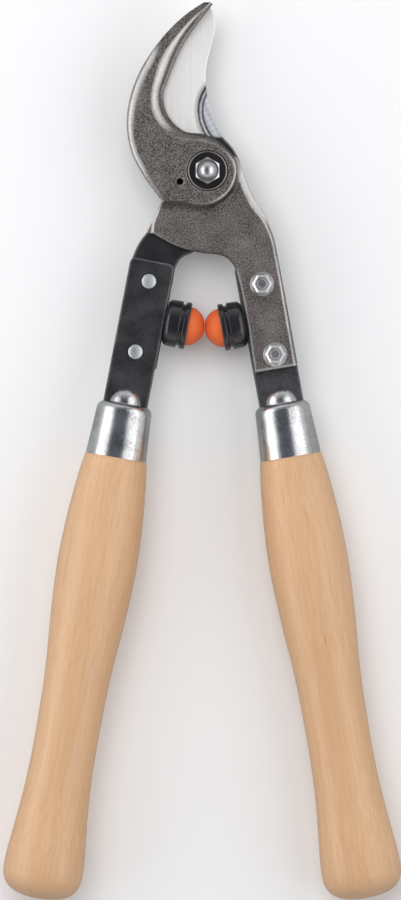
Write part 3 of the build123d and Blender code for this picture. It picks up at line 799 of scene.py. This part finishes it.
def flange_nut_tree():
    """Flanged nut: a coned flange, a hexagon with chamfered corners, a crimped collar and the bolt's end."""
    tree, into, out = hardware_tree("flange_nut", {
        "Corner Radius": 5.75 * MM, "Hex Height": 4.4 * MM, "Flange Radius": 6.8 * MM, "Flange Height": 1.5 * MM,
        "Collar Radius": 3.9 * MM, "Bolt Radius": 2.9 * MM, "Bolt Height": 6.8 * MM})
    size = into.outputs

    def coned(sides, foot, top, height):
        return node(tree, "GeometryNodeMeshCone", Vertices=sides, Radius_Top=top, Radius_Bottom=foot,
                    Depth=height).outputs["Mesh"]

    chamfer = coned(6, size["Corner Radius"], maths(tree, "MULTIPLY", size["Corner Radius"], 0.74), 1.0 * MM)
    flange = coned(40, size["Flange Radius"], maths(tree, "MULTIPLY", size["Flange Radius"], 0.8),
                   size["Flange Height"])
    collar = coned(32, size["Collar Radius"], 3.3 * MM, 0.7 * MM)
    end = coned(24, size["Bolt Radius"], 2.2 * MM, 0.8 * MM)
    set_down(tree, into, out, [
        rod(tree, 6, size["Corner Radius"], size["Hex Height"]),
        at_height(tree, chamfer, size["Hex Height"]), flange,
        at_height(tree, collar, maths(tree, "ADD", size["Hex Height"], 1.0 * MM)),
        rod(tree, 24, size["Bolt Radius"], size["Bolt Height"]),
        at_height(tree, end, size["Bolt Height"])])
    return tree


def round_head_tree():
    """Button head: a low cylinder with a flattened dome on it."""
    tree, into, out = hardware_tree("round_head", {
        "Radius": 4.1 * MM, "Edge Height": 0.9 * MM, "Dome Flatness": 0.33})
    size = into.outputs
    ball = node(tree, "GeometryNodeMeshUVSphere", Segments=48, Rings=24, Radius=size["Radius"]).outputs["Mesh"]
    flat = node(tree, "ShaderNodeCombineXYZ", X=1.0, Y=1.0, Z=size["Dome Flatness"])
    dome = node(tree, "GeometryNodeTransform", Geometry=ball, Scale=flat.outputs[0]).outputs[0]
    set_down(tree, into, out, [rod(tree, 48, size["Radius"], size["Edge Height"]),
                               at_height(tree, dome, size["Edge Height"])])
    return tree


def plated_steel(name, colour, roughness, mottle=0.85, bump=0.08):
    """Bright zinc plate with a faint grain in its colour and gloss."""
    made, tree, shader, where = finish(name)
    grain = use(tree, shot_grain, Vector=where, Grain_Size=0.9, Patches=0.5)
    gloss = between(tree, grain["Grain"], 0.3, 0.7, roughness * 0.75, roughness * 1.3)
    wire(tree, shader.inputs["Roughness"], gloss)
    spots = ramp(tree, grain["Grain"], (0.34, [mottle * c for c in colour]), (0.56, colour))
    wire(tree, shader.inputs["Base Color"], spots)
    shader.inputs["Metallic"].default_value = 1.0
    relief(tree, shader, grain["Height"], bump)
    return made


zinc_plate = plated_steel("zinc_plate", (0.84, 0.85, 0.86), 0.30)
zinc_satin = plated_steel("zinc_satin", (0.90, 0.92, 0.93), 0.52)
flange_nut = flange_nut_tree()
round_head = round_head_tree()


def plain_mesh(maker):
    """The mesh that an object's modifiers make, as a plain one. The object itself goes."""
    mesh = bpy.data.meshes.new_from_object(maker.evaluated_get(bpy.context.evaluated_depsgraph_get()))
    bpy.data.objects.remove(maker)
    mesh.shade_smooth()
    return mesh


def run_tree(maker, tree, **inputs):
    """Runs a tree on an object, with its inputs by name, and gives the plain mesh that it makes."""
    rule = maker.modifiers.new("rule", "NODES")
    rule.node_group = tree
    for item in tree.interface.items_tree:
        if item.in_out == "INPUT" and item.name in inputs:
            rule[item.identifier] = inputs[item.name]
    return plain_mesh(maker)


def fasteners(name, tree, points, height, down, body, node, finish):
    """Puts a tree's fasteners on the arm's bolt points and keeps them as a plain mesh."""
    seats = bpy.data.meshes.new(name + "_seats")
    seats.from_pydata([Vector((x, y, height)) * MM + pivot for x, y in points], [], [])
    turn = (math.pi if down else 0.0, 0.0, 0.0)
    mesh = run_tree(add_piece(name + "_seats", seats), tree, Turn=turn, Finish=finish)
    mesh.set_sharp_from_angle(angle=math.radians(25))
    piece = add_piece(name, mesh)
    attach(piece, body)
    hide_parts(node)


fasteners("left_bolt_heads", round_head, LEFT_BOLTS, 4.95, False, "blade_side", "left_arm_bolts", zinc_satin)
fasteners("left_flange_nuts", flange_nut, LEFT_BOLTS, BLADE_BACK, True, "blade_side", "left_arm_nuts", zinc_plate)
fasteners("right_bolt_heads", round_head, RIGHT_BOLTS, -4.95, True, "hook_side", "right_arm_bolts", zinc_satin)
fasteners("right_flange_nuts", flange_nut, RIGHT_BOLTS, ARM_THICK, False, "hook_side", "right_arm_nuts", zinc_plate)

# ======================================================================================================
# Pivot: an M8 cap nut on a black washer, down in the recess of the boss. The bolt's head and its spring
# washer are at the back.


def turned(name, profile, centre=(0, 0, 0), axis=(0, 0, 1), sides=64, material=None):
    """Closed solid of revolution. The profile is (radius, height) pairs, from axis to axis or round a ring;
    heights run along axis from centre. All in millimetres."""
    up = Vector(axis).normalized()
    side = up.orthogonal().normalized()
    other = up.cross(side)
    ringed = profile[0][0] > 1e-6
    verts, rows = [], []
    for radius, height in profile:
        base = Vector(centre) + up * height
        if radius < 1e-6:
            rows.append([len(verts)])
            verts.append(base)
            continue
        rows.append(list(range(len(verts), len(verts) + sides)))
        for i in range(sides):
            a = 2 * math.pi * i / sides
            verts.append(base + (side * math.cos(a) + other * math.sin(a)) * radius)
    faces = []
    pairs = list(zip(rows, rows[1:] + rows[:1])) if ringed else list(zip(rows, rows[1:]))
    for low, high in pairs:
        for i in range(sides):
            j = (i + 1) % sides
            if len(low) == 1:
                faces.append((low[0], high[j], high[i]))
            elif len(high) == 1:
                faces.append((low[i], low[j], high[0]))
            else:
                faces.append((low[i], low[j], high[j], high[i]))
    mesh = bpy.data.meshes.new(name)
    mesh.from_pydata([v * MM + pivot for v in verts], [], faces)
    mesh.shade_smooth()
    mesh.set_sharp_from_angle(angle=math.radians(32))
    if material:
        mesh.materials.append(material)
    return add_piece(name, mesh)


def arc(centre, radius, start, end, count=10):
    """(radius, height) pairs on an arc, angles in degrees from the radius axis."""
    turns = [math.radians(start + (end - start) * i / count) for i in range(count + 1)]
    return [(centre[0] + radius * math.cos(t), centre[1] + radius * math.sin(t)) for t in turns]


NUT_SEAT, NUT_HIGH = 9.0, 6.5
NUT_TOP = NUT_SEAT + NUT_HIGH
CORNER_R, DOME_R = 7.5, 5.1
turns = [math.radians(60 * k) for k in range(6)]
blank_mesh = bpy.data.meshes.new("cap_nut_blank")
blank_mesh.from_pydata(
    [Vector((CORNER_R * math.sin(t), CORNER_R * math.cos(t), z)) * MM + pivot
     for z in (NUT_SEAT, NUT_TOP) for t in turns], [],
    [(0, 1, 2, 3, 4, 5), (11, 10, 9, 8, 7, 6), *((k, k + 6, (k + 1) % 6 + 6, (k + 1) % 6) for k in range(6))])
blank = add_piece("cap_nut_blank", blank_mesh)
cutter = turned("cap_nut_turning", [
    (0, NUT_SEAT - 1), (7.3, NUT_SEAT - 0.2), (8.6, NUT_SEAT + 0.8), (8.6, NUT_TOP - 1.1), (6.3, NUT_TOP),
    (5.7, NUT_TOP), (5.6, NUT_TOP - 0.9), (0, NUT_TOP - 0.9)])
chamfering = blank.modifiers.new("chamfering", "BOOLEAN")
chamfering.operation, chamfering.object, chamfering.solver = "INTERSECT", cutter, "EXACT"
nut_mesh = plain_mesh(blank)
bpy.data.objects.remove(cutter)
nut_mesh.set_sharp_from_angle(angle=math.radians(25))
nut_mesh.materials.clear()
nut_mesh.materials.append(zinc_plate)
cap_nut = add_piece("cap_nut", nut_mesh)
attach(cap_nut, "hook_side")
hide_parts("pivot_cap_nut")
nut_dome = turned("cap_nut_dome", [
    (0, NUT_TOP - 1.2), (DOME_R, NUT_TOP - 1.2), (DOME_R, NUT_TOP + 0.3),
    *arc((0, NUT_TOP + 0.3), DOME_R, 6, 84, 14), (0, NUT_TOP + 0.3 + DOME_R)], sides=48, material=zinc_plate)
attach(nut_dome, "hook_side")

washer_black = steel("washer_black", ((0.01, 0.009, 0.008), (0.035, 0.03, 0.028)), (0.6, 0.57, 0.55), 0.6, 0.5, 1.0,
                     (0.5, 0.4), 0.6, 0.2)


def refinish(node, material):
    """Keeps a node's own shape and gives it a finish."""
    mesh = frame["nodes"][node].data
    mesh.materials.clear()
    mesh.materials.append(material)


WASHER_R = 11.0
washer = turned("pivot_washer", [
    (4.2, RECESS_FLOOR), (10.9, RECESS_FLOOR), (WASHER_R, RECESS_FLOOR + 0.9),
    *arc((10.6, RECESS_FLOOR + 1.1), 0.4, 10, 170, 8), (9.9, RECESS_FLOOR + 1.25), (7.0, NUT_SEAT - 0.05),
    (4.2, NUT_SEAT - 0.05)], sides=96, material=washer_black)
lip = washer.data.attributes.new("scuffs_and_sheen", "FLOAT", "POINT")
# Painted highlight: the washer's lip is painted bright, most at its left and right, where the soft boxes would light
# it.
for vertex, lip_sheen in zip(washer.data.vertices, lip.data):
    place = (vertex.co - pivot) / MM
    on_lip = math.hypot(place.x, place.y) > 10.3 and place.z > RECESS_FLOOR + 1.2
    lip_sheen.value = 0.25 + 0.75 * abs(place.x) / WASHER_R if on_lip else 0.0
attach(washer, "hook_side")
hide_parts("pivot_lock_washer")
refinish("pivot_spring_washer", washer_black)
refinish("pivot_bolt", zinc_plate)

# ======================================================================================================
# Buffers: a moulded black rubber cup screwed to each arm's inner edge, holding an orange rubber ball.
# The two balls meet, a little flattened, when the jaws shut.


def rubber(name, colour, roughness, bump, coat=0.0):
    """Moulded rubber with a fine skin, and a glossy coat where it is polished by handling."""
    made, tree, shader, where = finish(name)
    shader.inputs["Base Color"].default_value = (*colour, 1)
    shader.inputs["Roughness"].default_value = roughness
    shader.inputs["Coat Weight"].default_value = coat
    shader.inputs["Coat Roughness"].default_value = 0.16
    relief(tree, shader, use(tree, shot_grain, Vector=where, Grain_Size=1.4)["Height"], bump)
    return made


black_rubber = rubber("black_rubber", (0.012, 0.011, 0.014), 0.24, 0.05, 1.0)
orange_rubber = rubber("orange_rubber", (0.80, 0.14, 0.03), 0.45, 0.06)
CUP_LENGTH, CUP_R, CUP_BASE = 13.0, 13.2, 3.0
BALL_R, BALL_FOOT, BALL_MIDDLE, BALL_RISE = 10.9, 4.8, 12.0, 10.3
BUFFER_Z = -2.6


def buffer(side, base, lean, inward, meet, body):
    """Cup and ball on an arm's inner edge; base is the cup's foot, lean the arm's, inward +1 to the right.
    The ball is pressed flat against the other one, where x is meet."""
    turn = math.radians(lean)
    axis = (inward * math.cos(turn), inward * math.sin(turn), 0)
    bore = BALL_R + 0.1
    cup = turned(side + "_cup", [
        (1.6, 0), *arc((CUP_R - 3.2, 3.0), 3.0, -90, -10, 8), (CUP_R - 0.1, 6.4),
        *arc((CUP_R - 0.7, 7.6), 0.6, 0, 70, 4), (CUP_R - 1.5, 8.3), (CUP_R - 1.6, 9.6),
        *arc((CUP_R - 0.8, 10.6), 0.7, -80, 0, 4), *arc((CUP_R - 0.9, 12.1), 0.9, 0, 90, 6),
        (bore + 0.4, CUP_LENGTH), (bore, CUP_LENGTH - 0.5), (bore, CUP_BASE), (1.6, CUP_BASE)],
        base, axis, 72, black_rubber)
    crown = [(out, BALL_MIDDLE + up * BALL_RISE / BALL_R) for out, up in arc((0, 0), BALL_R, 0, 88, 30)]
    ball = turned(side + "_ball", [(0, BALL_FOOT), (BALL_R, BALL_FOOT), *crown, (0, BALL_MIDDLE + BALL_RISE)],
                  base, axis, 96, orange_rubber)
    gap, give = 0.05 * MM, 0.2 * MM
    for vertex in ball.data.vertices:
        past = (vertex.co.x - meet) * inward + gap + give
        if past > 0:
            vertex.co.x = meet - inward * (gap + give * math.exp(-past / give))
    for piece, part, finish in ((cup, "cup", "black_rubber"), (ball, "ball", "orange_rubber")):
        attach(piece, body)
        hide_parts(f"{side}_buffer_{part}")
    refinish(f"{side}_buffer_screw", zinc_plate)


def along(mouth, lean, across, up):
    """A place measured across and up an arm from its ferrule's mouth."""
    turn = math.radians(lean)
    return (mouth[0] + across * math.cos(turn) - up * math.sin(turn),
            mouth[1] + across * math.sin(turn) + up * math.cos(turn))


left_base = along(LEFT_MOUTH, LEFT_LEAN, 13.2, 50.3)
right_base = along(RIGHT_MOUTH, RIGHT_LEAN, -12.5, 48.7)
left_ball = along(left_base, LEFT_LEAN, BALL_MIDDLE, 0)
right_ball = along(right_base, RIGHT_LEAN, -BALL_MIDDLE, 0)
meet = pivot.x + (left_ball[0] + right_ball[0]) / 2 * MM
buffer("left", (*left_base, BUFFER_Z), LEFT_LEAN, 1, meet, "blade_side")
buffer("right", (*right_base, BUFFER_Z), RIGHT_LEAN, -1, meet, "hook_side")

# ======================================================================================================
# Ferrules: deep-drawn steel caps, bright zinc. The mouth is closed by a half-round dome, and the skirt is pressed
# over the end of the wood. The real dome is slotted for the flat tang; this one is turned whole and the tang runs
# through it.

ferrule_plate = plated_steel("ferrule_plate", (0.90, 0.905, 0.91), 0.20, 0.45, 0.30)
LEFT_WOOD = ((*LEFT_MOUTH, 2.45), -10.0, "blade_side")
RIGHT_WOOD = ((*RIGHT_MOUTH, -2.45), 9.7, "hook_side")


def down_the_wood(lean):
    turn = math.radians(lean)
    return (math.sin(turn), -math.cos(turn), 0)


top, dome, wall = -1.1, 9.6, 1.1
skin = [(0, top - dome), *arc((0, top), dome, -84, -8, 12), (dome + 0.2, top - 0.25), (dome + 0.7, top),
        (10.6, top), *arc((11.0, top + 4.5), 4.5, -84, -4, 8), (15.5, top + 5.4), (16.25, 17.0), (17.0, 28.4),
        (16.9, 29.2), (15.95, 29.2), (15.2, 17.0), (14.4, top + 5.0),
        *arc((11.0, top + 4.5), 4.5 - wall, -8, -84, 5), (dome - 1.0, top + wall),
        *arc((0, top), dome - wall, -8, -84, 8), (0, top - dome + wall)]

for side, (mouth, lean, body) in (("left", LEFT_WOOD), ("right", RIGHT_WOOD)):
    cap = turned(side + "_ferrule_cap", skin, mouth, down_the_wood(lean), 96, ferrule_plate)
    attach(cap, body)
    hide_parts(side + "_ferrule")

# ======================================================================================================
# Handles: beech, turned between centres, sanded and varnished satin. One rule turns both: the points of
# the axis carry the wood's radius, and the tree sweeps a circle along them.


def lathe_tree():
    """Sweeps a circle along a centre line whose points carry the radius."""
    tree = bpy.data.node_groups.new("wood_lathe", "GeometryNodeTree")
    socket(tree, "Geometry", "NodeSocketGeometry", "INPUT")
    socket(tree, "Sides", "NodeSocketInt", "INPUT", 96)
    socket(tree, "Finish", "NodeSocketMaterial", "INPUT")
    socket(tree, "Geometry", "NodeSocketGeometry", "OUTPUT")
    into, out = tree.nodes.new("NodeGroupInput"), tree.nodes.new("NodeGroupOutput")
    circle = node(tree, "GeometryNodeCurvePrimitiveCircle", Resolution=into.outputs["Sides"], Radius=1.0)
    swept = node(tree, "GeometryNodeCurveToMesh", Curve=into.outputs["Geometry"],
                 Profile_Curve=circle.outputs["Curve"], Fill_Caps=True)
    if "Scale" in swept.inputs:
        radius = tree.nodes.new("GeometryNodeInputRadius")
        tree.links.new(radius.outputs[0], swept.inputs["Scale"])
    real = node(tree, "GeometryNodeRealizeInstances", Geometry=swept.outputs[0])
    varnished = node(tree, "GeometryNodeSetMaterial", Geometry=real.outputs[0], Material=into.outputs["Finish"])
    tree.links.new(varnished.outputs[0], out.inputs[0])
    return tree


WOOD_DARK, WOOD_PALE, WOOD_FLECK = (0.59, 0.325, 0.16), (0.77, 0.49, 0.28), (0.40, 0.19, 0.07, 1)


def beech(name, lean, seed):
    """Pale beech: fibre and soft bands along the handle, short dark flecks, and a satin coat."""
    made, tree, shader, where = finish(name)
    board = node(tree, "ShaderNodeMapping", Vector=where, Location=(seed, 0, seed * 0.7),
                 Rotation=(0, 0, -math.radians(lean))).outputs["Vector"]
    fibre, bands, flecks = (
        use(tree, fine_streaks, Vector=board, Lines_per_Metre=per_metre, Stretch=stretch)["Lines"]
        for per_metre, stretch in ((1100.0, 0.018), (70.0, 0.06), (650.0, 0.09)))
    colour = ramp(tree, mixed(tree, 0.40, fibre, bands, "FLOAT"), (0.28, WOOD_DARK), (0.70, WOOD_PALE))
    colour = mixed(tree, between(tree, flecks, 0.69, 0.75), colour, WOOD_FLECK)
    wire(tree, shader.inputs["Base Color"], colour)
    shader.inputs["Roughness"].default_value = 0.42
    shader.inputs["Coat Weight"].default_value = 0.5
    shader.inputs["Coat Roughness"].default_value = 0.22
    relief(tree, shader, fibre, 0.10)
    return made


wood_lathe = lathe_tree()
body_line = line_through([(17.3, 29.4), (18.5, 36.7), (20.1, 50.7), (21.3, 65.0), (22.0, 80.0), (22.15, 91.0),
                          (21.7, 105.0), (20.95, 118.0), (20.0, 131.0), (18.9, 144.0), (18.15, 158.0),
                          (17.8, 174.0), (17.8, 202.0), (18.4, 217.0), (19.4, 230.0), (20.8, 244.0),
                          (21.95, 256.0), (22.25, 263.0)], 2.0)
butt = line_through([(22.25, 263.0), (21.6, 268.4), (19.3, 273.0), (14.2, 276.7), (7.0, 278.6), (0.05, 279.0)], 0.8)
spigot = [(13.0, 5.2), (14.1, 5.6), (15.7, 28.9)]
wood_profile = [*spigot, *body_line[:-1], *butt]

for side, (mouth, lean, body) in (("left", LEFT_WOOD), ("right", RIGHT_WOOD)):
    axis, start = Vector(down_the_wood(lean)), Vector(mouth)
    centre_line = bpy.data.curves.new(side + "_centre_line", "CURVE")
    centre_line.dimensions = "3D"
    run = centre_line.splines.new("POLY")
    run.points.add(len(wood_profile) - 1)
    for point, (radius, down) in zip(run.points, wood_profile):
        point.co = (*((start + axis * float(down)) * MM + pivot), 1)
        point.radius = float(radius) * MM
    varnished = beech(side + "_beech", lean, 0.31 if side == "left" else 0.84)
    mesh = run_tree(add_piece(side + "_blank", centre_line), wood_lathe, Sides=96, Finish=varnished)
    wood = add_piece(side + "_handle_wood", mesh)
    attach(wood, body)
    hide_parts(side + "_handle")
